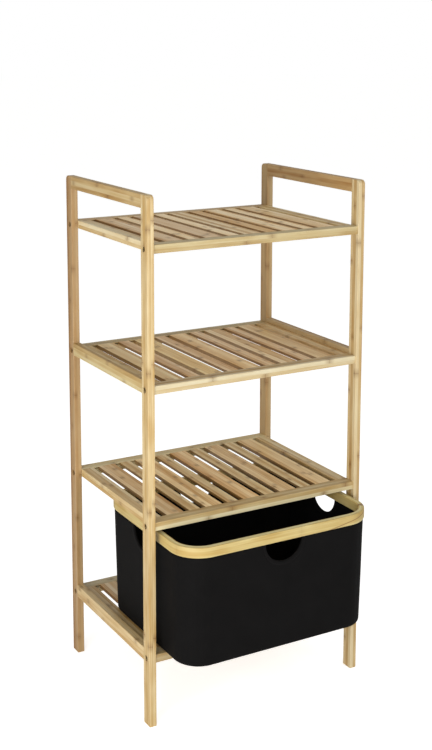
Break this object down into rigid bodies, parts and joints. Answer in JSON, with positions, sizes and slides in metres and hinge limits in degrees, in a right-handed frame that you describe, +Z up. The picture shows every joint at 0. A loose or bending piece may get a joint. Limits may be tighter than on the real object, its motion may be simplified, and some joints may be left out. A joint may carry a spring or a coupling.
{
  "type": "slatted storage rack with a pull-out basket",
  "caption": "Tall free-standing bamboo rack with slatted shelves between two end frames, and a rimmed fabric basket that draws out of the lowest bay.",
  "frame": {"origin": "on the floor, under the middle of the bounding box of the whole object with the basket drawn out", "axes": "+Z up; the basket draws out towards -Y, the front; +X to the right seen from the front"},
  "size_m": [0.47, 0.4466, 1],
  "materials": {
    "bamboo": "satin, clear lacquer",
    "rim_bamboo": "satin, clear lacquer, bent",
    "black_fabric": "matt woven",
    "board": "matt, fabric-covered board",
    "steel": "dull yellow zinc"
  },
  "bodies": {
    "rack": {"post_front_left": "bamboo", "post_rear_left": "bamboo", "top_rail_left": "bamboo", "side_rail_2_left": "bamboo", "side_rail_4_left": "bamboo", "post_front_right": "bamboo", "post_rear_right": "bamboo", "top_rail_right": "bamboo", "side_rail_2_right": "bamboo", "side_rail_4_right": "bamboo", "frame_dowels": "bamboo", "shelf_1_front_rail": "bamboo", "shelf_1_rear_rail": "bamboo", "shelf_1_side_bar_left": "bamboo", "shelf_1_side_bar_right": "bamboo", "shelf_1_wide_slat_1": "bamboo", "shelf_1_wide_slat_2": "bamboo", "shelf_1_wide_slat_3": "bamboo", "shelf_1_wide_slat_4": "bamboo", "shelf_1_wide_slat_5": "bamboo", "shelf_1_narrow_slats": "bamboo", "shelf_2_front_rail": "bamboo", "shelf_2_rear_rail": "bamboo", "shelf_2_side_bar_left": "bamboo", "shelf_2_side_bar_right": "bamboo", "shelf_2_wide_slat_1": "bamboo", "shelf_2_wide_slat_2": "bamboo", "shelf_2_wide_slat_3": "bamboo", "shelf_2_wide_slat_4": "bamboo", "shelf_2_wide_slat_5": "bamboo", "shelf_2_narrow_slats": "bamboo", "shelf_3_front_rail": "bamboo", "shelf_3_rear_rail": "bamboo", "shelf_3_side_bar_left": "bamboo", "shelf_3_side_bar_right": "bamboo", "shelf_3_wide_slat_1": "bamboo", "shelf_3_wide_slat_2": "bamboo", "shelf_3_wide_slat_3": "bamboo", "shelf_3_wide_slat_4": "bamboo", "shelf_3_wide_slat_5": "bamboo", "shelf_3_narrow_slats": "bamboo", "shelf_4_front_rail": "bamboo", "shelf_4_rear_rail": "bamboo", "shelf_4_side_bar_left": "bamboo", "shelf_4_side_bar_right": "bamboo", "shelf_4_wide_slat_1": "bamboo", "shelf_4_wide_slat_2": "bamboo", "shelf_4_wide_slat_3": "bamboo", "shelf_4_wide_slat_4": "bamboo", "shelf_4_wide_slat_5": "bamboo", "shelf_4_narrow_slats": "bamboo", "shelf_bolts": "steel", "barrel_nuts": "steel"},
    "basket": {"basket_rim": "rim_bamboo", "basket_fabric": "black_fabric", "basket_base_board": "board"}
  },
  "joints": [
    {"name": "basket_slide", "type": "slide", "parent": "rack", "child": "basket", "axis": [0, -1, 0], "range_m": [-0.098, 0.072]}
  ]
}
